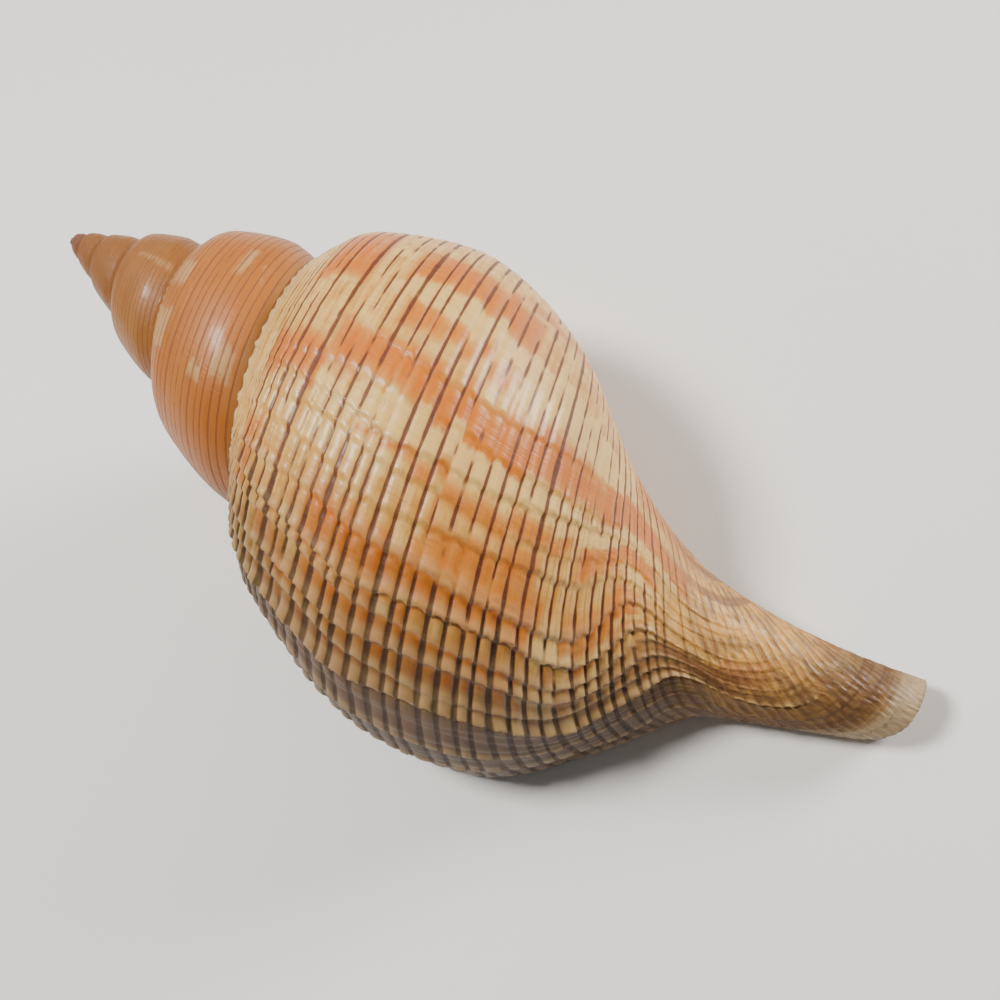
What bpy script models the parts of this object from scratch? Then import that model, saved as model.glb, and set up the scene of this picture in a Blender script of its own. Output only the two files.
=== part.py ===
# Tulip shell: one coiled, hollow sea-snail shell, lying on its aperture side.
# It is a loft. A growth line, from the seam between two whorls to the end of the canal, is carried
# round the axis while it grows, which makes the closed outside. A horn that follows nearly
# two turns inside the wall is cut out of it, and leaves the aperture and the open canal.
import math

import bmesh
import bpy
from mathutils import Matrix, Vector

# Driving sizes. The shell's own frame has the apex at 0 and the axis along +Z to the canal's end;
# lengths there are shares of LENGTH, and angles are in turns, 0 at the lip and negative before it.
LENGTH = 0.140  # from the point of the cone, just past the tip, to the end of the canal, metres
TURNS = 6  # turns from the apex to the lip
GROWTH = 1.75  # size gained in one turn
SLOWING = 0.0076  # how much less it gains in the first turns
FLATTER = 0.75  # how much flatter the first whorls are than the last
NARROWER = 0.40  # how much narrower they are at the tip
TIP = 0.0165  # where the tip lies on the axis
WALL = 0.0100  # wall of the body whorl, 1.4 mm
LIP_WALL = 0.0062  # wall at the lip and in the canal, 0.9 mm
CALLUS = 0.0030  # glaze laid over the whorl before, inside the aperture
LUMEN_TURNS = 1.9  # how far back the hollow is modelled
CANAL_CURL = 0.69  # how fast the canal tightens round the axis, going back
CANAL_OPEN = 0.30  # turns over which the canal's end is open
CORNER = 0.035  # how far the lip's corner is cut back at the canal's end
LIE_ROLL = 68.0  # turns the aperture side down, degrees
LIE_PITCH = 14.7  # tips the canal's end down onto the ground, degrees
FOOT = 0.00025  # how much is worn flat where it touches the ground, metres

# Stations down the last growth line, after the seam: distance from the axis, distance from the
# apex, and how much of the growth acts there (all of it on the whorl, none at the canal's end).
STATIONS = (
    (0.187, 0.401, 1.00),
    (0.229, 0.452, 1.00),
    (0.265, 0.589, 1.00),
    (0.227, 0.711, 0.855),
    (0.1335, 0.795, 0.61),
    (0.080, 0.839, 0.307),
    (0.0605, 0.886, 0.085),
    (0.043, 1.000, 0.0),
)
COVERED = 3.38  # station at which the next whorl is laid on
SPAN = len(STATIONS)  # stations are numbered 0 at the seam to SPAN at the canal's end

TURN_STEPS = 36
WHORL_STEPS = 8  # from seam to seam
BASE_STEPS = 14  # from the last seam to the canal's end
LUMEN_OUTER = 13
LUMEN_INNER = 10


def growth(t):
    return math.exp(math.log(GROWTH) * t + SLOWING * t * t)


def between(rows, s):
    """The smooth curve through the rows, at station s."""
    first = min(max(int(math.floor(s)), 0), len(rows) - 2)
    f = s - first
    b, c = rows[first], rows[first + 1]
    a = rows[first - 1] if first else [2 * p - q for p, q in zip(b, c)]
    d = rows[first + 2] if first + 2 < len(rows) else [2 * q - p for p, q in zip(b, c)]
    return [
        0.5 * (2 * q + (r - p) * f + (2 * p - 5 * q + 4 * r - u) * f * f + (3 * q - p - 3 * r + u) * f**3)
        for p, q, r, u in zip(a, b, c, d)
    ]


def smooth(low, high, value):
    s = min(max((value - low) / (high - low), 0.0), 1.0)
    return s * s * (3 - 2 * s)


def grown(rows, t, s):
    """Distance from the axis and from the apex of the point that growth line t has at station s."""
    radius, height, share = between(rows, s)
    share = min(max(share, 0.0), 1.0)
    size = growth(t) ** share
    curl = math.exp(CANAL_CURL * t * (0.75 - 0.5 * t) * (1 - share))
    return radius * size * curl, height * size


# The seam lies where the turn before is covered.
SEAM = grown(((0.0, 0.0, 1.0),) + STATIONS, -1, COVERED)
LINE = (SEAM + (1.0,),) + STATIONS


def outside(t, s):
    """A point of the outer surface, in shares of the length."""
    radius, height = grown(LINE, t, s)
    if t < -1 and s <= COVERED:
        # Growth isn't quite even, so each turn is drawn out to meet the seam of the next.
        reach, size = grown(LINE, t, COVERED), growth(t + 1)
        radius += (SEAM[0] * size - reach[0]) * s / COVERED
        height += (SEAM[1] * size - reach[1]) * s / COVERED
        cone = height * SEAM[0] / SEAM[1]
        radius += (cone - radius) * FLATTER * smooth(-1.0, -3.8, t)
        radius *= 1 - NARROWER * smooth(-3.8, -6.0, t + s / COVERED)
    # the lip's corner at the canal's end is rounded off
    height -= CORNER * smooth(6.6, 8.0, s) ** 2 * smooth(-0.24, 0.02, t) ** 1.5
    angle = 2 * math.pi * t
    down = (height - 0.6) / 0.4
    down = (down + math.sqrt(down * down + 0.02)) / 2  # the canal bends a little
    return Vector(
        (
            radius * math.cos(angle) + 0.0765 * down - 0.102 * down**2,
            radius * math.sin(angle) - 0.0115 * down + 0.0105 * down**2,
            height,
        )
    )


def outward(t, s):
    """The unit normal of the outer surface."""
    e = 0.004
    along = outside(t + e, s) - outside(t - e, s)
    down = outside(t, min(s + e * 8, SPAN)) - outside(t, max(s - e * 8, 0.0))
    return down.cross(along).normalized() * -1


def wall(t, s):
    thin = max(smooth(-0.10, 0.0, t), smooth(4.5, 7.0, s))
    return (WALL + (LIP_WALL - WALL) * thin) * min(growth(t) ** 0.6, 1.0)


def station(j):
    """Station of column j: even over the whorl, then even over the base and canal."""
    if j <= WHORL_STEPS:
        return COVERED * j / WHORL_STEPS
    return COVERED + (SPAN - COVERED) * (j - WHORL_STEPS) / BASE_STEPS


def strip(mesh, one, two):
    """Triangles between two lines of points that run the same way and may share their ends."""
    i = j = 0
    while i < len(one) - 1 or j < len(two) - 1:
        ahead_one = i < len(one) - 1
        ahead_two = j < len(two) - 1
        if ahead_one and ahead_two:
            ahead_one = (one[i + 1].co - two[j].co).length <= (one[i].co - two[j + 1].co).length
        if ahead_one:
            corners = (one[i], one[i + 1], two[j])
            i += 1
        else:
            corners = (one[i], two[j + 1], two[j])
            j += 1
        if len(set(corners)) == 3:
            mesh.faces.new(corners)


def fan(mesh, ring, centre):
    hub = mesh.verts.new(centre)
    for a, b in zip(ring, ring[1:] + ring[:1]):
        mesh.faces.new((a, b, hub))


def outer_mesh():
    """The closed outside: whorls joined seam to seam, and the last turn down to the canal's end."""
    mesh = bmesh.new()
    last = TURNS * TURN_STEPS
    body = last - TURN_STEPS  # where the turn begins whose base and canal are seen
    wide = WHORL_STEPS + BASE_STEPS
    points = {}
    for i in range(last + 1):
        for j in range(wide + 1):
            if j >= WHORL_STEPS and i < body or j == WHORL_STEPS and i == body:
                continue
            points[i, j] = mesh.verts.new(outside((i - last) / TURN_STEPS, station(j)))
    for i in range(body + 1):  # each seam is the edge of the turn before it
        points[i, WHORL_STEPS] = points[i + TURN_STEPS, 0]
    for i in range(last):
        for j in range(wide if i >= body else WHORL_STEPS):
            mesh.faces.new((points[i, j], points[i, j + 1], points[i + 1, j + 1], points[i + 1, j]))

    lip = [points[last, j] for j in range(wide + 1)]
    inner_lip = [points[body, j] for j in range(WHORL_STEPS, wide + 1)]
    strip(mesh, lip, inner_lip)
    end = [points[i, wide] for i in range(body, last + 1)]
    fan(mesh, end, (outside(-0.25, SPAN) + outside(-0.75, SPAN)) / 2)
    tip = [points[i, 0] for i in range(TURN_STEPS + 1)]
    tip += [points[0, j] for j in range(WHORL_STEPS - 1, 0, -1)]
    fan(mesh, tip, Vector((0, 0, TIP)))
    return mesh


def lumen_mesh():
    """The hollow: a horn that follows the last turns, shallower in the canal further back."""
    mesh = bmesh.new()
    rings = []
    steps = round(LUMEN_TURNS * TURN_STEPS)
    for i in range(-1, steps + 1):
        t = -i / TURN_STEPS
        canal = 7.9 - 2.5 * smooth(CANAL_OPEN * 0.5, CANAL_OPEN * 2, -t)
        points = []
        for j in range(LUMEN_OUTER):
            s = 0.45 + (canal - 0.45) * j / (LUMEN_OUTER - 1)
            points.append(outside(t, s) - outward(t, s) * wall(t, s))
        for j in range(LUMEN_INNER):
            s = canal + (COVERED + 0.35 - canal) * j / (LUMEN_INNER - 1)
            points.append(outside(t - 1, s) + outward(t - 1, s) * CALLUS * min(growth(t), 1.0))
        if canal > 7.0:  # the canal is open at its end
            reach = smooth(7.0, 7.6, canal) * 0.06
            for k, turn in ((LUMEN_OUTER - 1, t), (LUMEN_OUTER, t - 1)):
                way = outside(turn, SPAN) - outside(turn, SPAN - 0.5)
                points[k] = points[k] + way.normalized() * reach
        middle = sum(points, Vector()) / len(points)
        close = 1 - smooth(steps - 5, steps + 1, i)
        rings.append([mesh.verts.new(middle + (p - middle) * (0.25 + 0.75 * close)) for p in points])
    for one, two in zip(rings, rings[1:]):
        for k in range(len(one)):
            n = (k + 1) % len(one)
            mesh.faces.new((one[k], one[n], two[n], two[k]))
    for ring in (rings[0], rings[-1]):
        fan(mesh, ring, sum((v.co for v in ring), Vector()) / len(ring))
    return mesh


def lying(mesh):
    """The move that lays the shell down as it comes to rest, centred, its lowest points at -FOOT."""
    roll = Matrix.Rotation(-math.radians(LIE_ROLL), 4, "Z")
    turn = Matrix.Rotation(math.radians(90 + LIE_PITCH), 4, "Y") @ roll @ Matrix.Scale(LENGTH, 4)
    points = [turn @ v.co for v in mesh.verts]
    low = [min(p[k] for p in points) for k in range(3)]
    high = [max(p[k] for p in points) for k in range(3)]
    shift = Vector((-(low[0] + high[0]) / 2, -(low[1] + high[1]) / 2, -low[2] - FOOT))
    return Matrix.Translation(shift) @ turn


def add_object(name, mesh, collection, move):
    mesh.transform(move)
    bmesh.ops.recalc_face_normals(mesh, faces=mesh.faces)
    if mesh.calc_volume(signed=True) < 0:
        bmesh.ops.reverse_faces(mesh, faces=mesh.faces)
    data = bpy.data.meshes.new(name)
    mesh.to_mesh(data)
    mesh.free()
    data.shade_smooth()
    obj = bpy.data.objects.new(name, data)
    collection.objects.link(obj)
    return obj


def cut(target, cutter):
    cutter.hide_render = True
    cutter.display_type = "WIRE"
    modifier = target.modifiers.new("cut " + cutter.name, "BOOLEAN")
    modifier.operation = "DIFFERENCE"
    modifier.solver = "EXACT"
    modifier.object = cutter


for old in list(bpy.data.objects):
    bpy.data.objects.remove(old, do_unlink=True)

shells = bpy.data.collections.new("tulip shell")
cutters = bpy.data.collections.new("cutters")
for group in (shells, cutters):
    bpy.context.scene.collection.children.link(group)
cutters.hide_render = True

body = outer_mesh()
lay_down = lying(body)
shell = add_object("tulip_shell", body, shells, lay_down)
lumen = add_object("lumen", lumen_mesh(), cutters, lay_down)
cut(shell, lumen)

# The ground takes FOOT off the three places that the shell lies on.
bpy.ops.mesh.primitive_cube_add(size=1, location=(0, 0, -0.05))
ground = bpy.context.object
ground.name = "ground"
ground.scale = (LENGTH * 2, LENGTH * 2, 0.1)
for group in list(ground.users_collection):
    group.objects.unlink(ground)
cutters.objects.link(ground)
cut(shell, ground)

glaze = bpy.data.materials.new("shell")
glaze.use_nodes = True
surface = glaze.node_tree.nodes["Principled BSDF"]
surface.inputs["Base Color"].default_value = (0.60, 0.36, 0.17, 1.0)
surface.inputs["Roughness"].default_value = 0.35
surface.inputs["Metallic"].default_value = 0.0
shell.data.materials.append(glaze)
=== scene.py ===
import math

import bmesh
import bpy
import numpy as np
from mathutils import Matrix, Vector


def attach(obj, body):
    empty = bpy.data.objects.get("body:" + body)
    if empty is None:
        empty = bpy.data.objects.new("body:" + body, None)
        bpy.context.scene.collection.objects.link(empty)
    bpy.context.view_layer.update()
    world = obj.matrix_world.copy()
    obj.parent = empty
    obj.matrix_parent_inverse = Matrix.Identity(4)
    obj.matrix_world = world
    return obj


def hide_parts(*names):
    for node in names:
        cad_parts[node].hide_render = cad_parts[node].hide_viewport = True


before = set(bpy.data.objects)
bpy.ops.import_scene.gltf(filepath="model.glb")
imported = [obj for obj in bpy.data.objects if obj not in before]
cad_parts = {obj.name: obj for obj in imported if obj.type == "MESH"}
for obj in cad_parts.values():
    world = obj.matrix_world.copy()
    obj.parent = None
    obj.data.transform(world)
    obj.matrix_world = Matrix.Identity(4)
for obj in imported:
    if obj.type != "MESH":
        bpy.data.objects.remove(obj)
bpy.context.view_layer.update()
print("frame loaded")

# the coil: lengths are shares of the shell's length, t counts turns (0 at the lip), s counts stations
coil = {
    "length": 0.140,  # from the point of the cone, just past the tip, to the end of the canal, metres
    "turns": 6,
    "growth": 1.75,  # size gained in one turn
    "slowing": 0.0076,
    "flatter": 0.75,  # how much flatter the first whorls are
    "narrower": 0.40,  # how much narrower they are at the tip
    "tip": 0.0165,
    "wall": 0.0100,
    "lipWall": 0.0062,
    "callus": 0.0030,
    "canalCurl": 0.69,
    "canalOpen": 0.30,
    "covered": 3.38,  # station at which the next whorl is laid on
    "lieRoll": 68.0,
    "liePitch": 14.7,
    "foot": 0.00025,
    "stations": (  # distance from the axis, distance from the apex, how much growth acts there
        (0.187, 0.401, 1.00), (0.229, 0.452, 1.00), (0.265, 0.589, 1.00), (0.227, 0.711, 0.855),
        (0.1335, 0.795, 0.61), (0.080, 0.839, 0.307), (0.0605, 0.886, 0.085), (0.043, 1.000, 0.0)),
}
span = len(coil["stations"])
seamEnd = coil["covered"]


def smooth(low, high, value):
    x = np.clip((value - low) / (high - low), 0.0, 1.0)
    return x * x * (3 - 2 * x)


def growthAt(t):
    return np.exp(math.log(coil["growth"]) * t + coil["slowing"] * t * t)


def between(rows, s):
    rows = np.vstack([2 * rows[0] - rows[1], rows, 2 * rows[-1] - rows[-2]])
    first = np.clip(np.floor(s).astype(int), 0, len(rows) - 4)
    f = (s - first)[..., None]
    a, b, c, d = (rows[first + k] for k in range(4))
    return 0.5 * (2 * b + (c - a) * f + (2 * a - 5 * b + 4 * c - d) * f**2 + (3 * b - a - 3 * c + d) * f**3)


def grownAt(rows, t, s):
    line = between(rows, s)
    share = np.clip(line[..., 2], 0.0, 1.0)
    size = growthAt(t) ** share
    curl = np.exp(coil["canalCurl"] * t * (0.75 - 0.5 * t) * (1 - share))
    return line[..., 0] * size * curl, line[..., 1] * size


stationRows = np.array(((0.0, 0.0, 1.0),) + coil["stations"])
seam = [float(v) for v in grownAt(stationRows, np.array(-1.0), np.array(seamEnd))]
lineRows = stationRows.copy()
lineRows[0, :2] = seam


def outside(t, s):
    # a point of the smooth outer surface
    t, s = np.broadcast_arrays(np.asarray(t, float), np.asarray(s, float))
    radius, height = grownAt(lineRows, t, s)
    reachR, reachH = grownAt(lineRows, t, np.full_like(s, seamEnd))
    spire = (t < -1) & (s <= seamEnd)
    pull = np.where(spire, s / seamEnd, 0.0)
    radius = radius + (seam[0] * growthAt(t + 1) - reachR) * pull
    height = height + (seam[1] * growthAt(t + 1) - reachH) * pull
    flat = np.where(spire, coil["flatter"] * smooth(-1.0, -3.8, t), 0.0)
    radius = radius + (height * seam[0] / seam[1] - radius) * flat
    radius = radius * (1 - np.where(spire, coil["narrower"] * smooth(-3.8, -6.0, t + s / seamEnd), 0.0))
    rounding = smooth(6.6, 8.0, s) ** 2 * smooth(-0.24, 0.02, t) ** 1.5
    height = height - 0.035 * rounding
    down = (height - 0.6) / 0.4
    down = (down + np.sqrt(down * down + 0.02)) / 2
    angle = 2 * math.pi * t
    return np.stack([
        radius * np.cos(angle) + 0.0765 * down - 0.102 * down**2,
        radius * np.sin(angle) - 0.0115 * down + 0.0105 * down**2,
        height], axis=-1)


def outward(t, s):
    t, s = np.broadcast_arrays(np.asarray(t, float), np.asarray(s, float))
    along = outside(t + 0.002, s) - outside(t - 0.002, s)
    down = outside(t, np.minimum(s + 0.02, span)) - outside(t, np.maximum(s - 0.02, 0.0))
    normal = -np.cross(down, along)
    return normal / np.maximum(np.linalg.norm(normal, axis=-1, keepdims=True), 1e-12)


def wallAt(t, s):
    thin = np.maximum(smooth(-0.10, 0.0, t), smooth(4.5, 7.0, s))
    return (coil["wall"] + (coil["lipWall"] - coil["wall"]) * thin) * np.minimum(growthAt(t) ** 0.6, 1.0)


# the spiral cords and growth marks, in metres on the last whorl
relief = {
    "seamSpacing": 1.25, "bodySpacing": 2.5, "canalSpacing": 1.75,  # mm between grooves
    "grooveDepth": 0.00020,
    "canalCord": 0.00032,
    "ridgeHeight": 0.00060,
    "ridgeLength": 0.0105,  # turns over which a mark rises to its edge
    "ridges": (  # strong growth marks: when they were laid down, in turns before the lip, and how strong
        (-0.012, 0.7), (-0.046, 0.9), (-0.082, 0.9), (-0.124, 1.9), (-0.141, 0.7), (-0.158, 1.0), (-0.176, 0.7),
        (-0.190, 1.2), (-0.211, 0.9), (-0.236, 0.7), (-0.253, 0.6), (-0.272, 1.0), (-0.290, 0.7), (-0.318, 1.0),
        (-0.345, 0.5), (-0.372, 0.9), (-0.408, 0.5), (-0.448, 0.4), (-0.52, 0.5), (-0.61, 0.4), (-0.72, 0.5)),
    "seamRim": 0.00045,
    "seamPuckers": 52,  # along one turn
    "folds": ((4.75, 0.0011), (5.15, 0.0008)),  # low folds on the columella: station, height
}
chance = np.random.default_rng(11)

lipLine = np.linspace(0, span, 1601)
lipPoints = outside(np.zeros_like(lipLine), lipLine) * coil["length"] * 1000
lipLength = np.concatenate([[0], np.cumsum(np.linalg.norm(np.diff(lipPoints, axis=0), axis=1))])
spacing = relief["seamSpacing"] + (relief["bodySpacing"] - relief["seamSpacing"]) * smooth(3, 26, lipLength)
spacing = spacing + (relief["canalSpacing"] - relief["bodySpacing"]) * smooth(4.2, 6.2, lipLine)
cordLine = np.concatenate([[0], np.cumsum(np.diff(lipLength) / ((spacing[1:] + spacing[:-1]) / 2))])
cordLine = cordLine + 0.09 * np.sin(1.7 * cordLine) + 0.06 * np.sin(3.1 * cordLine)  # some cords are wider
cordsTotal = float(cordLine[-1])


def cordAt(t, s):
    # the number of the cord: on the canal the cords slant, because they keep to the growing animal
    line = between(lineRows, s)
    share = np.clip(line[..., 2], 0.0, 1.0)
    slip = line[..., 1] * (np.exp(-math.log(coil["growth"]) * np.clip(t, -1.6, 0.1) * (1 - share) * 0.8) - 1)
    return np.interp(s, lipLine, cordLine) + slip * coil["length"] * 1000 / relief["canalSpacing"]


def growAt(t, s):
    # when a place was laid down: marks run along the lip, bent at the base, and round the canal's end
    line = between(lineRows, s)
    height = np.maximum(line[..., 1] * growthAt(t) ** np.clip(line[..., 2], 0, 1), 1e-3)
    atEnd = np.log(np.minimum(height, 1.0)) / math.log(coil["growth"])
    newer = smooth(-0.30, -0.13, t)
    bend = 0.042 * np.exp(-(((s - 5.1 - 0.8 * newer) / 0.6) ** 2)) - 0.028 * newer * np.exp(-(((s - 4.6) / 0.5) ** 2))
    turned = t + bend * smooth(0.0, -0.1, t)
    return 0.5 * (turned + atEnd + np.sqrt((turned - atEnd) ** 2 + 0.12**2))


ridgePlaces = list(relief["ridges"])
place = -0.004
while place > -1.0:  # fine marks between them, closer towards the lip
    ridgePlaces.append((place, chance.uniform(0.08, 0.36) * (0.5 + 0.5 * math.exp(place * 4))))
    place -= chance.uniform(0.005, 0.012) * (1 + 2.2 * min(-place * 1.8, 1))
cordShift = chance.uniform(-1, 1, 4096)


def reliefAt(t, s):
    grow, cord = growAt(t, s), cordAt(t, s)
    across = np.abs((cord % 1.0) - 0.5) * 2  # 0 in the middle of a cord, 1 in a groove
    size = growthAt(np.clip(t, -7, 0)) ** 0.9
    newer = smooth(-0.55, -0.12, t)
    onCanal = smooth(4.9, 6.3, s)
    onSpire = smooth(-0.95, -1.05, t)
    groove = relief["grooveDepth"] * (0.6 + 0.6 * newer) * (1 - onCanal) * (1 - 0.55 * onSpire)
    height = -groove * np.exp(-(((1 - across) / 0.30) ** 2)) + groove * (0.10 + 0.24 * newer) * (1 - across**2)
    wavy = cord + 0.13 * np.sin(grow * 75 + s * 4) + 0.07 * np.sin(grow * 163 + s * 9)
    beaded = 0.62 + 0.38 * np.sin(grow * 190 + 2.2 * np.sin(cord * 1.7))
    height = height + relief["canalCord"] * onCanal * beaded * (np.abs(np.cos(math.pi * wavy)) ** 1.3 - 0.6)
    wander = 0.0022 * np.sin(s * 3.1 + 0.8) + 0.0012 * np.sin(s * 7.3 + 2.0)
    scallop = 0.0034 * (1 - across**2) * (1 - 0.6 * onCanal)
    cordNumber = np.floor(cord).astype(int)
    marks = np.zeros_like(height)
    for n, (where, strength) in enumerate(ridgePlaces):
        bend = 0.0028 * np.sin(s * (1.3 + 0.37 * (n % 5)) + n * 1.7)
        own = cordShift[(cordNumber * 31 + n * 97) % 4096]
        z = (grow + wander + bend + scallop + own * 0.0007 - where) / relief["ridgeLength"]
        edge = np.where(z < 0, np.exp(np.minimum(z, 0) / 0.75), np.exp(-((z / 0.17) ** 2)))
        edge = edge - 0.28 * np.exp(-(((z - 0.32) / 0.2) ** 2))
        marks += np.where((z > -5) & (z < 1.5), edge * strength * (1 + 0.25 * own), 0.0)
    amount = (0.09 + 0.91 * smooth(-0.40, -0.15, t)) * (1 - 0.55 * onCanal) * (1 - 0.6 * onSpire)
    amount = amount * (0.45 + 0.55 * smooth(1.2, 2.6, s))
    height = height + relief["ridgeHeight"] * marks * amount
    rim = smooth(0.62, 0.1, s) * smooth(-0.02, 0.05, s)
    pucker = 0.62 + 0.38 * np.sin(2 * math.pi * relief["seamPuckers"] * t + 1.5 * np.sin(9 * t))
    height = height + relief["seamRim"] * rim * pucker * smooth(-3.0, -0.6, t)
    older = smooth(-0.92, -1.0, t) * smooth(seamEnd + 0.1, seamEnd + 0.8, s) * (t >= -1.0001)
    return height * size * smooth(-6, -2, t) ** 0.5 + older * coil["callus"] * coil["length"], marks * amount


# coloured patches: the turns and the stations that each one covers, and how strong it is
patches = {
    "edge": (0.009, 0.07),  # softness along the coil and across it
    "orange": (
        (-0.437, -0.352, 1.60, 2.28, 1.0), (-0.415, -0.374, 2.55, 3.68, 1.0), (-0.323, -0.290, 2.30, 4.80, 1.0),
        (-0.326, -0.284, 4.60, 5.75, 1.0), (-0.300, -0.266, 1.45, 2.32, 1.0), (-0.352, -0.331, 2.65, 3.62, 0.75),
        (-0.269, -0.253, 2.70, 4.45, 0.75), (-0.250, -0.221, 3.40, 4.25, 0.8), (-0.224, -0.190, 2.55, 4.35, 0.95),
        (-0.445, -0.420, 3.50, 4.20, 0.7), (-0.269, -0.240, 4.50, 5.30, 0.8), (-0.226, -0.190, 4.50, 5.20, 0.65),
        (-0.240, -0.185, 1.50, 1.95, 0.7), (-0.180, -0.150, 2.10, 4.30, 0.75), (-0.148, -0.121, 2.20, 3.60, 0.6),
        (-0.440, -0.345, 4.90, 5.90, 0.6), (-0.210, -0.150, 6.35, 7.00, 0.6), (-0.110, -0.080, 2.90, 4.10, 0.5),
        (-1.46, -1.06, 0.0, 3.3, 0.45), (-0.700, -0.640, 1.4, 3.9, 0.9), (-0.620, -0.590, 2.2, 4.9, 0.9),
        (-0.560, -0.500, 1.7, 3.2, 0.9), (-0.850, -0.760, 1.2, 2.8, 0.9), (-0.820, -0.790, 2.7, 3.38, 0.9),
        (-0.940, -0.890, 1.3, 3.2, 0.8), (-0.055, -0.020, 2.0, 3.4, 0.6), (-0.540, -0.480, 4.2, 5.4, 0.8)),
    "pale": (
        # the second pale patch in this row, on the right of the last whorl, is a painted highlight where the window
        # light's reflection falls
        (-0.376, -0.352, 2.45, 3.70, 0.7), (-0.380, -0.328, 3.65, 4.95, 0.8), (-0.288, -0.268, 2.32, 5.60, 1.0), (-0.262, -0.238, 2.35, 3.10, 0.6),
        (-0.245, -0.230, 4.90, 5.80, 0.7), (-0.292, -0.250, 1.05, 1.50, 0.6), (-0.205, -0.190, 4.30, 5.50, 0.8),
        (-0.420, -0.395, 2.28, 2.55, 0.6), (-0.400, -0.350, 1.00, 1.50, 0.6), (-0.130, -0.121, 1.80, 6.40, 0.6),
        (-1.345, -1.290, 0.9, 2.0, 0.7), (-1.262, -1.200, 0.8, 2.0, 0.8), (-1.400, -1.340, 2.62, 2.86, 0.6),
        (-1.235, -1.200, 2.60, 2.84, 0.8), (-1.270, -1.222, 2.95, 3.22, 0.8), (-1.385, -1.330, 2.98, 3.16, 0.5),
        (-2.345, -2.318, 2.2, 3.3, 0.7), (-2.25, -2.20, 0.1, 1.2, 0.6), (-1.90, -1.84, 0.7, 1.9, 0.7),
        (-1.74, -1.70, 2.2, 2.9, 0.6), (-1.62, -1.55, 0.8, 1.6, 0.7)),
}


def patchAt(kind, grow, cord, s):
    softT, softS = patches["edge"]
    own = cordShift[(np.floor(cord).astype(int) * 17 + 5) % 4096] * np.where(grow < -1, 0.2, 1.0)
    softT = np.where(grow < -1, softT * 2.2, softT)
    found = np.zeros_like(grow)
    for first, last, low, high, strength in patches[kind]:
        begins = first + 0.006 * own + 0.004 * np.sin(s * 2.7 + first * 60)
        ends = last + 0.005 * own + 0.004 * np.sin(s * 3.3 + first * 90)
        inside = np.minimum(np.minimum((grow - begins) / softT, (ends - grow) / softT),
                            np.minimum((s - low) / softS, (high - s) / softS))
        found = np.maximum(found, strength * np.clip(0.5 + 0.5 * inside, 0, 1))
    return found


# the surface is gathered from rows of points; every point keeps where it was in the coil
shellPoints, shellMaps, shellSides, shellMarks = [], [], [], []
pointCount = 0


def mapsAt(t, s):
    grow, cord = growAt(t, s), cordAt(t, s)
    along = np.where(t < -1, t, grow)  # on the spire the marks run straight across
    return np.stack([t, along, cord, s, patchAt("orange", along, cord, s), patchAt("pale", along, cord, s)], axis=1)


def addPoints(points, t, s, side, marks=None):
    global pointCount
    points = np.atleast_2d(points)
    t = np.broadcast_to(t, (len(points),)).astype(float)
    s = np.broadcast_to(s, (len(points),)).astype(float)
    shellPoints.append(points)
    shellMaps.append(mapsAt(t, s))
    shellSides.append(np.full(len(points), side, float))
    shellMarks.append(np.zeros(len(points)) if marks is None else marks)
    pointCount += len(points)
    return np.arange(pointCount - len(points), pointCount)


def outerPoints(t, s):
    t, s = np.broadcast_arrays(np.asarray(t, float), np.asarray(s, float))
    height, marks = reliefAt(t, s)
    return outside(t, s) + outward(t, s) * (height / coil["length"])[..., None], marks


faces = []


def quadStrip(one, two):
    faces.append(np.stack([one[:-1], one[1:], two[1:], two[:-1]], axis=1))


def zipStrip(one, two, oneAt, twoAt):
    # triangles between two rows, taken in the order of their places along the way
    corners = []
    i = j = 0
    while i < len(one) - 1 or j < len(two) - 1:
        nextOne = oneAt[i + 1] if i < len(one) - 1 else math.inf
        nextTwo = twoAt[j + 1] if j < len(two) - 1 else math.inf
        if nextOne <= nextTwo:
            corners.append((one[i], one[i + 1], two[j]))
            i += 1
        else:
            corners.append((one[i], two[j + 1], two[j]))
            j += 1
    corners = [c for c in corners if len(set(c)) == 3]
    if corners:
        faces.append(np.array(corners))


def fan(ring, centre):
    ring = np.asarray(ring)
    faces.append(np.stack([ring, np.roll(ring, -1), np.full(len(ring), centre)], axis=1))


fineness = {"turnSteps": 540, "seenRows": 0.68, "perCord": 6, "spireColumns": (96, 48, 30, 20, 14),
            "lumenSteps": 120, "lumenOuter": 70, "lumenInner": 90, "lumenTurns": 1.9}
turnSteps = fineness["turnSteps"]
lastRow = coil["turns"] * turnSteps
bodyRow = lastRow - turnSteps
# rows are closer on the half of each turn that lies uppermost
partTurns = np.interp(np.arange(turnSteps) / turnSteps, [0, 1 - fineness["seenRows"], 1], [0, 0.45, 1])
rowTurns = [n // turnSteps - coil["turns"] + partTurns[n % turnSteps] for n in range(lastRow + 1)]

# columns of the last turn keep step with the cords, so that each groove is followed
bodyCords = np.arange(0, cordsTotal, 1 / fineness["perCord"])
bodyStations = np.interp(bodyCords, cordLine, lipLine)
coveredColumn = int(np.argmin(np.abs(bodyStations - seamEnd)))
bodyStations[coveredColumn] = seamEnd
bodyStations = np.append(bodyStations[bodyStations < span - 0.01], span)
spireStations = [np.linspace(0, seamEnd, n + 1)[:-1] for n in fineness["spireColumns"]]

rows, rowStations = [], []
for n in range(lastRow + 1):
    t = rowTurns[n]
    if n >= bodyRow:
        stations = np.delete(bodyStations, coveredColumn) if n == bodyRow else bodyStations
    else:
        stations = spireStations[min((bodyRow - 1 - n) // turnSteps, len(spireStations) - 1)]
    surfacePoints, marks = outerPoints(np.full(len(stations), t), stations)
    rows.append(addPoints(surfacePoints, t, stations, 0.0, marks))
    rowStations.append(stations)


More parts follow.
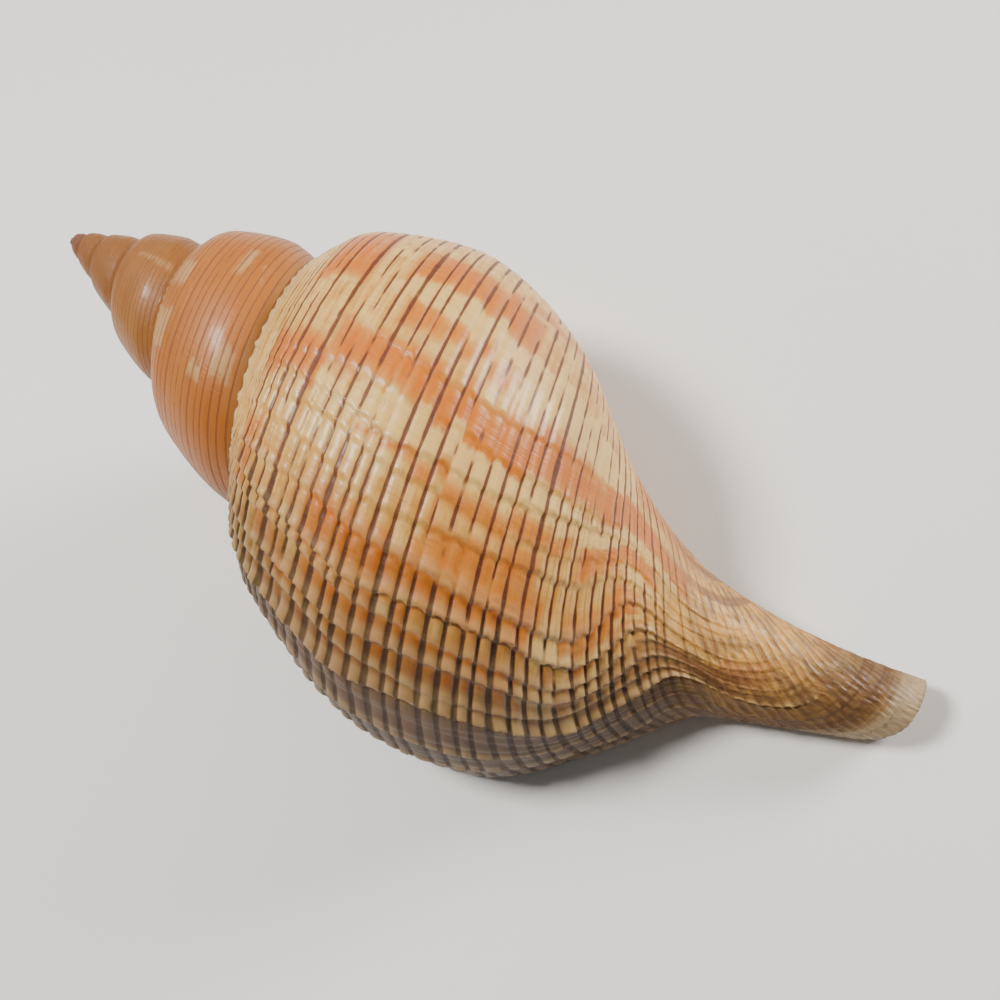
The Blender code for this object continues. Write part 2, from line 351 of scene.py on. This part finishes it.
def wholeRow(n, upTo=None):
    # a row down to where the next whorl covers it, ending on that whorl's seam
    if n > bodyRow:
        return (rows[n], bodyStations) if upTo is None else (rows[n][:coveredColumn + 1], bodyStations[:coveredColumn + 1])
    if n == bodyRow:
        row = np.insert(rows[n], coveredColumn, rows[lastRow][0])
        return (row, bodyStations) if upTo is None else (row[:coveredColumn + 1], bodyStations[:coveredColumn + 1])
    return np.append(rows[n], rows[n + turnSteps][0]), np.append(rowStations[n], seamEnd)


for n in range(lastRow):
    one, oneAt = wholeRow(n, None if n >= bodyRow else 1)
    two, twoAt = wholeRow(n + 1, None if n >= bodyRow else 1)
    if len(one) == len(two):
        quadStrip(one, two)
    else:
        zipStrip(one, two, oneAt, twoAt)
tip = [rows[n][0] for n in range(turnSteps + 1)] + list(rows[0][:0:-1])
fan(tip, addPoints(np.array([[0, 0, coil["tip"]]]), -coil["turns"], 0.0, 0.0)[0])
print("outer whorls made:", pointCount, "points")

# the hollow that the aperture and the open canal lead into
openTurns = coil["canalOpen"]
lumenSteps = round(fineness["lumenTurns"] * fineness["lumenSteps"])
openSteps = round(openTurns * fineness["lumenSteps"])
outerCount, innerCount = fineness["lumenOuter"], fineness["lumenInner"]


def innerPoints(t, s):
    # the inside of the outer wall
    t, s = np.broadcast_arrays(np.asarray(t, float), np.asarray(s, float))
    return outside(t, s) - outward(t, s) * wallAt(t, s)[..., None]


def columellaPoints(t, s):
    # the covered side of the turn before, with its glaze and its low folds
    t, s = np.broadcast_arrays(np.asarray(t, float), np.asarray(s, float))
    glaze = coil["callus"] * np.minimum(growthAt(t + 1), 1.0)
    for station, height in relief["folds"]:
        glaze = glaze + height / coil["length"] * np.exp(-(((s - station) / 0.085) ** 2)) * smooth(0.0, -0.03, t + 1)
    return outside(t, s) + outward(t, s) * glaze[..., None]


lumenRows = []
for n in range(lumenSteps + 1):
    t = -n / fineness["lumenSteps"]
    canalEnd = span - 2.6 * float(smooth(openTurns, openTurns + 0.4, -t))
    outerS = np.linspace(0.45, canalEnd, outerCount)
    innerS = np.linspace(canalEnd, seamEnd + 0.35, innerCount)
    ring = np.vstack([innerPoints(t, outerS), columellaPoints(t - 1, innerS)])
    close = 1 - float(smooth(lumenSteps - 14, lumenSteps + 1, n))
    middle = ring.mean(axis=0)
    ring = middle + (ring - middle) * (0.2 + 0.8 * close)
    lumenRows.append(np.concatenate([
        addPoints(ring[:outerCount], t, outerS, 1.0), addPoints(ring[outerCount:], t - 1, innerS, 1.0)]))
for n in range(lumenSteps):
    one, two = lumenRows[n], lumenRows[n + 1]
    if n < openSteps:
        quadStrip(one[:outerCount], two[:outerCount])
        quadStrip(one[outerCount:], two[outerCount:])
    else:
        quadStrip(one, two)
    quadStrip(one[[-1, 0]], two[[-1, 0]])
fan(lumenRows[-1], addPoints(np.mean(np.concatenate(shellPoints[-2:]), axis=0), -fineness["lumenTurns"], 3.0, 1.0)[0])
print("hollow made:", pointCount, "points")

# the rim: the lip, the canal's end and the inner lip, rounded between outside and hollow
lipRow = rows[lastRow]
innerLip = wholeRow(bodyRow)[0][coveredColumn:][::-1]
innerLipStations = bodyStations[coveredColumn:][::-1]
endRow = np.array([wholeRow(n)[0][-1] for n in range(lastRow, bodyRow - 1, -1)])
endTurns = np.array([rowTurns[n] for n in range(lastRow, bodyRow - 1, -1)])
outerLoop = np.concatenate([lipRow, endRow[1:], innerLip[1:-1]])
outerAt = np.concatenate([
    np.clip((bodyStations - 0.45) / (span - 0.45), 0, 1),
    1 + np.where(-endTurns <= openTurns, -endTurns / openTurns * 0.5,
                 0.5 + 0.5 * (-endTurns - openTurns) / (1 - openTurns))[1:],
    2 + np.clip((span - innerLipStations) / (span - seamEnd - 0.35), 0, 1)[1:-1]])
canalOut = np.array([lumenRows[n][outerCount - 1] for n in range(openSteps + 1)])
canalIn = np.array([lumenRows[n][outerCount] for n in range(openSteps, -1, -1)])
innerLoop = np.concatenate([lumenRows[0][:outerCount], canalOut[1:], canalIn, lumenRows[0][outerCount + 1:]])
steps = np.linspace(0, 1, openSteps + 1)
innerAt = np.concatenate([np.linspace(0, 1, outerCount), 1 + steps[1:] * 0.5, 1.5 + steps * 0.5,
                          2 + np.linspace(0, 1, innerCount)[1:]])

allPoints = np.vstack(shellPoints)
start, finish = allPoints[outerLoop], np.empty((len(outerLoop), 3))
for axis in range(3):
    finish[:, axis] = np.interp(outerAt, innerAt, allPoints[innerLoop][:, axis])
loopT = np.concatenate([np.zeros(len(lipRow)), endTurns[1:], np.full(len(innerLip) - 2, -1.0)])
loopS = np.concatenate([bodyStations, np.full(turnSteps, float(span)), innerLipStations[1:-1]])
ahead = outside(loopT + 0.002, loopS) - outside(loopT - 0.002, loopS)
beyond = outside(loopT, loopS) - outside(loopT, loopS - 0.05)
ahead /= np.linalg.norm(ahead, axis=1, keepdims=True)
beyond /= np.linalg.norm(beyond, axis=1, keepdims=True)
atEnd = smooth(0.97, 1.03, outerAt)[:, None]
push = ahead * (1 - atEnd) + beyond * atEnd
push *= (smooth(2.03, 1.97, outerAt) * smooth(0.0, 0.05, (bodyStations[0] + outerAt)))[:, None]
gap = np.minimum(np.linalg.norm(finish - start, axis=1), 0.008)[:, None]
previous = outerLoop
for share in (0.2, 0.5, 0.8):
    bulge = math.sin(math.pi * share) * 0.42
    points = start + (finish - start) * share + push * gap * bulge
    current = addPoints(points, 0.0, 0.0, share)
    shellMaps[-1][:] = mapsAt(loopT, loopS)
    faces.append(np.stack([previous, np.roll(previous, -1), np.roll(current, -1), current], axis=1))
    previous = current
zipStrip(np.append(previous, previous[0]), np.append(innerLoop, innerLoop[0]),
         np.append(outerAt, 3.0), np.append(innerAt, 3.01))
print("rim closed:", pointCount, "points")

points = np.vstack(shellPoints)
maps = np.vstack(shellMaps)
sides = np.concatenate(shellSides)
growthMarks = np.concatenate(shellMarks)

# laid down as it comes to rest: the same turn and shift as the solid
turn = np.array((Matrix.Rotation(math.radians(90 + coil["liePitch"]), 3, "Y")
                 @ Matrix.Rotation(-math.radians(coil["lieRoll"]), 3, "Z")))
roughT = -np.arange(coil["turns"] * 36 + 1) / 36
roughS = np.concatenate([np.linspace(0, seamEnd, 9), np.linspace(seamEnd, span, 15)[1:]])
rough = outside(*[a.ravel() for a in np.meshgrid(roughT[roughT >= -1.001], roughS)]) @ turn.T * coil["length"]
spireT, spireS = [a.ravel() for a in np.meshgrid(roughT[roughT < -1], roughS[:9])]
rough = np.vstack([rough, outside(spireT, spireS) @ turn.T * coil["length"],
                   turn @ np.array([0, 0, coil["tip"]]) * coil["length"]])
low, high = rough.min(axis=0), rough.max(axis=0)
shift = np.array([-(low[0] + high[0]) / 2, -(low[1] + high[1]) / 2, -low[2] - coil["foot"]])
points = points @ turn.T * coil["length"] + shift
points[:, 2] = np.where(points[:, 2] < 0.0004, 0.0004 * np.exp(np.minimum(points[:, 2] / 0.0004 - 1, 0)), points[:, 2])


def buildMesh(name, points, faces):
    mesh = bpy.data.meshes.new(name)
    flat = np.concatenate([f.ravel() for f in faces])
    totals = np.concatenate([np.full(len(f), f.shape[1]) for f in faces])
    starts = np.concatenate([[0], np.cumsum(totals)[:-1]])
    mesh.vertices.add(len(points))
    mesh.vertices.foreach_set("co", points.astype(np.float32).ravel())
    mesh.loops.add(len(flat))
    mesh.loops.foreach_set("vertex_index", flat.astype(np.int32))
    mesh.polygons.add(len(totals))
    mesh.polygons.foreach_set("loop_start", starts.astype(np.int32))
    mesh.update(calc_edges=True)
    mesh.validate()
    return mesh


shellMesh = buildMesh("tulipShell", points, faces)
for name, values in (("turnsBack", maps[:, 0]), ("grown", maps[:, 1]), ("cordNumber", maps[:, 2]),
                     ("station", maps[:, 3]), ("orangePatch", maps[:, 4]), ("palePatch", maps[:, 5]),
                     ("insideness", sides), ("growthMark", growthMarks)):
    shellMesh.attributes.new(name, "FLOAT", "POINT").data.foreach_set("value", values.astype(np.float32))
work = bmesh.new()
work.from_mesh(shellMesh)
bmesh.ops.recalc_face_normals(work, faces=work.faces)
if work.calc_volume(signed=True) < 0:
    bmesh.ops.reverse_faces(work, faces=work.faces)
openEdges = sum(1 for edge in work.edges if len(edge.link_faces) != 2)
print("open edges:", openEdges, "faces:", len(work.faces))
work.to_mesh(shellMesh)
work.free()
shellMesh.shade_smooth()
shell = bpy.data.objects.new("tulipShell", shellMesh)
bpy.context.scene.collection.objects.link(shell)
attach(shell, "root")
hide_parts("tulip_shell")


# shader nodes written as sums
class Wire:
    def __init__(self, tree, socket):
        self.tree, self.socket = tree, socket

    def maths(self, operation, *others, clamp=False):
        values = [self] + list(others)
        return node(self.tree, "ShaderNodeMath", {"operation": operation, "use_clamp": clamp},
                    {n: value for n, value in enumerate(values)})

    def __add__(self, other):
        return self.maths("ADD", other)

    def __radd__(self, other):
        return self.maths("ADD", other)

    def __sub__(self, other):
        return self.maths("SUBTRACT", other)

    def __rsub__(self, other):
        return node(self.tree, "ShaderNodeMath", {"operation": "SUBTRACT"}, {0: other, 1: self})

    def __mul__(self, other):
        return self.maths("MULTIPLY", other)

    def __rmul__(self, other):
        return self.maths("MULTIPLY", other)

    def __truediv__(self, other):
        return self.maths("DIVIDE", other)

    def __pow__(self, other):
        return self.maths("POWER", other)

    def __neg__(self):
        return self.maths("MULTIPLY", -1.0)


def node(tree, kind, settings=None, sockets=None, out=0):
    made = tree.nodes.new(kind)
    for name, value in (settings or {}).items():
        if name == "stops":
            ramp = made.color_ramp
            while len(ramp.elements) < len(value):
                ramp.elements.new(0.5)
            for element, (position, colour) in zip(ramp.elements, value):
                element.position, element.color = position, tuple(colour) + (1.0,) * (4 - len(colour))
        else:
            setattr(made, name, value)
    for name, value in (sockets or {}).items():
        if isinstance(value, Wire):
            tree.links.new(value.socket, made.inputs[name])
        else:
            made.inputs[name].default_value = value
    return Wire(tree, made.outputs[out])


def between01(wire, low, high):
    # 0 below low, 1 above high, soft between
    return node(wire.tree, "ShaderNodeMapRange", {"interpolation_type": "SMOOTHSTEP"},
                {"Value": wire, "From Min": low, "From Max": high})


def blend(tree, factor, one, two, kind="MIX"):
    one = tuple(one) + (1.0,) if isinstance(one, (tuple, list)) and len(one) == 3 else one
    two = tuple(two) + (1.0,) if isinstance(two, (tuple, list)) and len(two) == 3 else two
    return node(tree, "ShaderNodeMix", {"data_type": "RGBA", "blend_type": kind, "clamp_factor": True},
                {0: factor, 6: one, 7: two}, out=2)


def attribute(tree, name):
    return node(tree, "ShaderNodeAttribute", {"attribute_name": name}, out=2)


def noise(tree, x, y, z=0.0, scale=1.0, detail=2.0, rough=0.5):
    place = node(tree, "ShaderNodeCombineXYZ", None, {0: x, 1: y, 2: z})
    return node(tree, "ShaderNodeTexNoise", {"noise_dimensions": "3D", "normalize": True},
                {"Vector": place, "Scale": scale, "Detail": detail, "Roughness": rough})


glaze = {
    "cream": (0.58, 0.275, 0.045),
    "ivory": (0.74, 0.470, 0.140),
    "orange": (0.56, 0.130, 0.003),
    "paleOrange": (0.57, 0.190, 0.018),
    "spireTan": (0.290, 0.104, 0.014),
    "apexBrown": (0.17, 0.062, 0.024),
    "khaki": (0.30, 0.170, 0.050),
    "brown": (0.170, 0.062, 0.016),
    "lineRed": (0.105, 0.022, 0.007),
    "lineBlack": (0.010, 0.004, 0.002),
    "inside": (0.80, 0.58, 0.36),
    "deepInside": (0.70, 0.30, 0.12),
    "roughness": 0.40,
}


def makeShellMaterial():
    material = bpy.data.materials.new("shellGlaze")
    material.use_nodes = True
    tree = material.node_tree
    surface = tree.nodes["Principled BSDF"]
    back = attribute(tree, "turnsBack")
    grown = attribute(tree, "grown")
    cord = attribute(tree, "cordNumber")
    station = attribute(tree, "station")
    inside = attribute(tree, "insideness")
    orangePatch = attribute(tree, "orangePatch")
    palePatch = attribute(tree, "palePatch")
    mark = attribute(tree, "growthMark")
    toGroove = 1 - (cord.maths("FRACT") - 0.5).maths("ABSOLUTE") * 2  # 0 in the groove, 1 in the middle
    cordCell = cord.maths("FLOOR")
    grooveCell = (cord + 0.5).maths("FLOOR")
    cordChance = node(tree, "ShaderNodeTexWhiteNoise", {"noise_dimensions": "1D"}, {"W": cordCell})
    lineChance = node(tree, "ShaderNodeTexWhiteNoise", {"noise_dimensions": "1D"}, {"W": grooveCell + 7.3})
    newer = between01(grown, -0.26, -0.12)  # towards the lip everything is darker and coarser
    onSpire = between01(back, -0.995, -1.005)
    early = between01(back, -1.9, -2.7)
    onCanal = between01(station, 5.0, 6.2)
    tint = noise(tree, grown * 60, station * 9, 1.0, 1.0, 3.0, 0.6)
    streaks = noise(tree, grown * 16, station * 22, 4.0, 1.0, 2.0, 0.55)  # long along the coil

    # cream ground, warmer between the pale streaks
    cream = blend(tree, between01(tint * 0.5 + streaks * 0.6, 0.40, 0.70), glaze["cream"], glaze["ivory"])
    tiles = noise(tree, grown * 46 + cordChance * 9, cordCell * 5.3, 0.0, 1.0, 1.0, 0.5)
    warm = between01(tiles, 0.42, 0.58) * (0.20 + newer * 0.65) * (1 - onSpire)
    warm = warm * between01(station, 1.3, 2.2)
    colour = blend(tree, warm, cream, glaze["paleOrange"])

    # orange patches with crisp ends, stepped from cord to cord
    ragged = orangePatch + (tint - 0.5) * 0.5 + (streaks - 0.5) * 0.8
    orange = blend(tree, between01(tint * 0.6 + streaks * 0.5, 0.38, 0.75), glaze["orange"], glaze["paleOrange"])
    solid = between01(ragged, 0.28, 0.60) * (0.45 + orangePatch * 0.55)
    colour = blend(tree, solid * (1 - newer * 0.10), colour, orange)
    # pale patches in ivory, one of them a painted highlight on the right of the last whorl
    white = between01(palePatch + (tint - 0.5) * 0.5 + (streaks - 0.5) * 0.4, 0.36, 0.60)
    colour = blend(tree, white * 0.85 * (1 - onSpire), colour, glaze["ivory"])

    # spire: tan with pale flecks and a dark tip
    spireShade = noise(tree, back * 9, station * 3, 6.0, 1.0, 3.0, 0.6)
    spire = blend(tree, between01(spireShade, 0.35, 0.68) * 0.55, glaze["spireTan"], (0.39, 0.165, 0.034))
    spire = blend(tree, between01(orangePatch, 0.2, 0.5) * (0.15 + tint * 0.35), spire, glaze["orange"])
    spire = blend(tree, white * 0.70, spire, (0.50, 0.30, 0.12))
    spire = blend(tree, early * 0.75, spire, (0.20, 0.068, 0.007))
    spire = blend(tree, between01(back, -4.1, -5.4), spire, glaze["apexBrown"])
    colour = blend(tree, onSpire, colour, spire)

    # dark lines in the grooves, broken by the growth marks
    broken = noise(tree, grown * 24, grooveCell * 3.7, 0.0, 1.0, 2.0, 0.55)
    beads = noise(tree, grown * 95, grooveCell * 5.1, 3.0, 1.0, 1.0, 0.5)
    width = 0.255 + newer * 0.22 + (lineChance - 0.5) * 0.14 + (broken - 0.5) * 0.40 + (beads - 0.5) * 0.28
    line = node(tree, "ShaderNodeMapRange", {"interpolation_type": "SMOOTHSTEP"},
                {"Value": toGroove, "From Min": width, "From Max": width * 0.5})
    line = line * between01(broken * 1.1 + newer * 0.16 + onSpire * 0.12 + (lineChance - 0.5) * 0.25, 0.40, 0.50)
    black = between01(newer + (broken - 0.5) * 1.2 + (beads - 0.5) * 0.7 - onSpire, 0.05, 0.9)
    lineColour = blend(tree, black, glaze["lineRed"], glaze["lineBlack"])
    strength = (0.94 - onSpire * 0.42 - early * 0.32).maths("MAXIMUM", 0.0)
    halo = node(tree, "ShaderNodeMapRange", {"interpolation_type": "SMOOTHSTEP"},
                {"Value": toGroove, "From Min": 0.60, "From Max": 0.10})
    colour = blend(tree, halo * 0.30 * between01(broken, 0.40, 0.60) * (1 - onCanal), colour, (0.42, 0.12, 0.030))
    middleLine = between01(toGroove, 0.86, 0.97) * between01(station, 3.7, 4.6) * between01(broken, 0.50, 0.60)
    colour = blend(tree, middleLine * 0.5 * (1 - onCanal), colour, glaze["brown"])

    # canal: khaki with brown growth lines, pale on the cords
    canalTone = noise(tree, grown * 20, cord * 0.55, 9.0, 1.0, 3.0, 0.55)
    canal = blend(tree, between01(canalTone, 0.40, 0.60), glaze["khaki"], glaze["cream"])
    canal = blend(tree, between01(canalTone, 0.54, 0.42) * 0.62, canal, glaze["brown"])
    canal = blend(tree, between01(orangePatch, 0.1, 0.5) * 0.5, canal, (0.34, 0.120, 0.036))
    canal = blend(tree, between01(toGroove, 0.50, 0.95) * 0.42, canal, (0.56, 0.37, 0.14))
    colour = blend(tree, onCanal * 0.80, colour, canal)
    colour = blend(tree, line * strength * (1 - onCanal * 0.60), colour, lineColour)

    # fine growth lines, brown ones towards the lip and along the canal; the last band before the lip darkened, partly
    # its own brown and partly painted shade; pale edges on the marks, partly worn and partly painted highlight, with a
    # painted shadow behind each mark
    striae = noise(tree, grown * 330, station * 2.2, 0.5, 1.0, 3.0, 0.65)
    bands = noise(tree, grown * 36, station * 0.35, 2.5, 1.0, 2.0, 0.5)
    shadeBand = between01(bands, 0.54, 0.64) * (newer * 0.36 + onCanal * 0.72) * (1 - onSpire)
    colour = blend(tree, shadeBand, colour, glaze["brown"])
    colour = blend(tree, between01(striae, 0.48, 0.62) * (0.13 + newer * 0.16), colour, (0.26, 0.105, 0.035))
    # the band next to the lip darkened to a dull brown: partly its own darker colour and partly painted shade
    dullAndPaintedShade = between01(grown, -0.22, -0.09) * (1 - onSpire)
    colour = blend(tree, dullAndPaintedShade * 0.58, colour, (0.120, 0.054, 0.016))
    # painted shade: the last band before the lip darkened almost to black, standing for the shade it lies in
    shaded = between01(grown, -0.235, -0.060) * (1 - onSpire) * (1 - onCanal * 0.5)
    colour = blend(tree, shaded * 0.84, colour, (0.030, 0.012, 0.004))
    # pale edges on the crests of the marks: partly worn, partly a painted highlight where the crests face the light
    edges = between01(mark, 0.30, 0.90) * (1 - line * 0.7) * (0.26 + newer * 0.30) * (1 - shaded * 0.4)
    colour = blend(tree, edges, colour, (0.58, 0.385, 0.170))
    # painted shadow: a dark line in the groove behind the drop of each mark
    colour = blend(tree, between01(mark, -0.02, -0.16) * 0.72, colour, (0.060, 0.024, 0.010))

    # cream band along the seam, worn pale canal end
    seamBand = between01(station + (tint - 0.5) * 0.25, 0.60, 0.36) * between01(back, -1.6, -1.1)
    colour = blend(tree, seamBand * (1 - line * 0.9) * 0.80, colour, (0.58, 0.41, 0.20))
    worn = between01(grown + (tint - 0.5) * 0.05, -0.045, -0.010) * between01(station, 7.3, 7.8)
    colour = blend(tree, worn * 0.6, colour, (0.46, 0.35, 0.20))

    # the inside: smooth cream to peach
    deep = between01(back, -0.02, -0.55)
    inner = blend(tree, deep, glaze["inside"], glaze["deepInside"])
    lipMarks = line * between01(back, -0.035, -0.004) * 0.8
    inner = blend(tree, lipMarks, inner, glaze["lineRed"])
    colour = blend(tree, between01(inside, 0.45, 0.9), colour, inner)
    tree.links.new(colour.socket, surface.inputs["Base Color"])

    outer = 1 - between01(inside, 0.3, 0.8)
    rough = glaze["roughness"] + (striae - 0.5) * 0.22 + line * 0.18 + onCanal * 0.08 + onSpire * 0.06 + dullAndPaintedShade * 0.10
    rough = rough - (1 - outer) * 0.16
    tree.links.new(rough.maths("MAXIMUM", 0.12).socket, surface.inputs["Roughness"])
    surface.inputs["Specular IOR Level"].default_value = 0.38
    surface.inputs["Coat Weight"].default_value = 0.13
    surface.inputs["Coat Roughness"].default_value = 0.20
    surface.inputs["Subsurface Weight"].default_value = 0.05
    surface.inputs["Subsurface Radius"].default_value = (0.004, 0.002, 0.001)
    surface.inputs["Subsurface Scale"].default_value = 0.5

    grain = noise(tree, grown * 900, station * 16, 0.0, 1.0, 2.0, 0.6)
    height = (striae * 0.60 + grain * 0.20 - line * 0.30 + tint * 0.40 + beads * 0.12) * outer
    bump = node(tree, "ShaderNodeBump", None, {"Strength": 0.6, "Distance": 0.00022, "Height": height})
    tree.links.new(bump.socket, surface.inputs["Normal"])
    return material


shell.data.materials.append(makeShellMaterial())
print("shell material made")

# plain pale floor
ground = {"size": 3.0, "colour": (0.84, 0.83, 0.81)}
floorMesh = bpy.data.meshes.new("floor")
half = ground["size"] / 2
floorMesh.from_pydata([(-half, -half, 0), (half, -half, 0), (half, half, 0), (-half, half, 0)], [], [(0, 1, 2, 3)])
floor = bpy.data.objects.new("floor", floorMesh)
bpy.context.scene.collection.objects.link(floor)
floorMaterial = bpy.data.materials.new("paleFloor")
floorMaterial.use_nodes = True
floorTree = floorMaterial.node_tree
floorSurface = floorTree.nodes["Principled BSDF"]
where = node(floorTree, "ShaderNodeTexCoord", out=3)
mottle = node(floorTree, "ShaderNodeTexNoise", None, {"Vector": where, "Scale": 9.0, "Detail": 3.0})
floorTree.links.new(blend(floorTree, mottle, ground["colour"], tuple(c * 0.96 for c in ground["colour"])).socket,
                    floorSurface.inputs["Base Color"])
floorSurface.inputs["Roughness"].default_value = 0.8
floorMesh.materials.append(floorMaterial)

# soft studio light
lights = {
    "key": {"place": (-0.21, -0.10, 0.49), "size": 0.13, "watts": 4.0, "colour": (1.0, 0.97, 0.92)},
    "window": {"place": (0.27, 0.48, 0.24), "size": 0.20, "watts": 4.6, "colour": (1.0, 0.97, 0.93)},
    "fill": {"place": (-0.55, 0.35, 0.45), "size": 0.7, "watts": 0.8, "colour": (1.0, 0.98, 0.96)},
}
for name, setting in lights.items():
    lamp = bpy.data.lights.new(name, "AREA")
    lamp.energy, lamp.size, lamp.color = setting["watts"], setting["size"], setting["colour"]
    holder = bpy.data.objects.new(name, lamp)
    holder.location = setting["place"]
    holder.rotation_euler = (Vector((0, 0, 0.02)) - Vector(setting["place"])).to_track_quat("-Z", "Y").to_euler()
    bpy.context.scene.collection.objects.link(holder)
world = bpy.data.worlds.new("studio")
world.use_nodes = True
world.node_tree.nodes["Background"].inputs["Color"].default_value = (1.0, 0.975, 0.94, 1.0)
world.node_tree.nodes["Background"].inputs["Strength"].default_value = 0.17
bpy.context.scene.world = world

# close view from above, apex at the upper left
view = {"place": (0.0693, -0.0298, 0.1519), "turned": (24.099, 13.733, 33.377), "lens": 39.23}
cameraData = bpy.data.cameras.new("camera")
cameraData.lens, cameraData.sensor_width, cameraData.clip_start = view["lens"], 36.0, 0.005
camera = bpy.data.objects.new("camera", cameraData)
camera.location = view["place"]
camera.rotation_euler = [math.radians(angle) for angle in view["turned"]]
bpy.context.scene.collection.objects.link(camera)
bpy.context.scene.camera = camera
print("stage, lights and camera set")
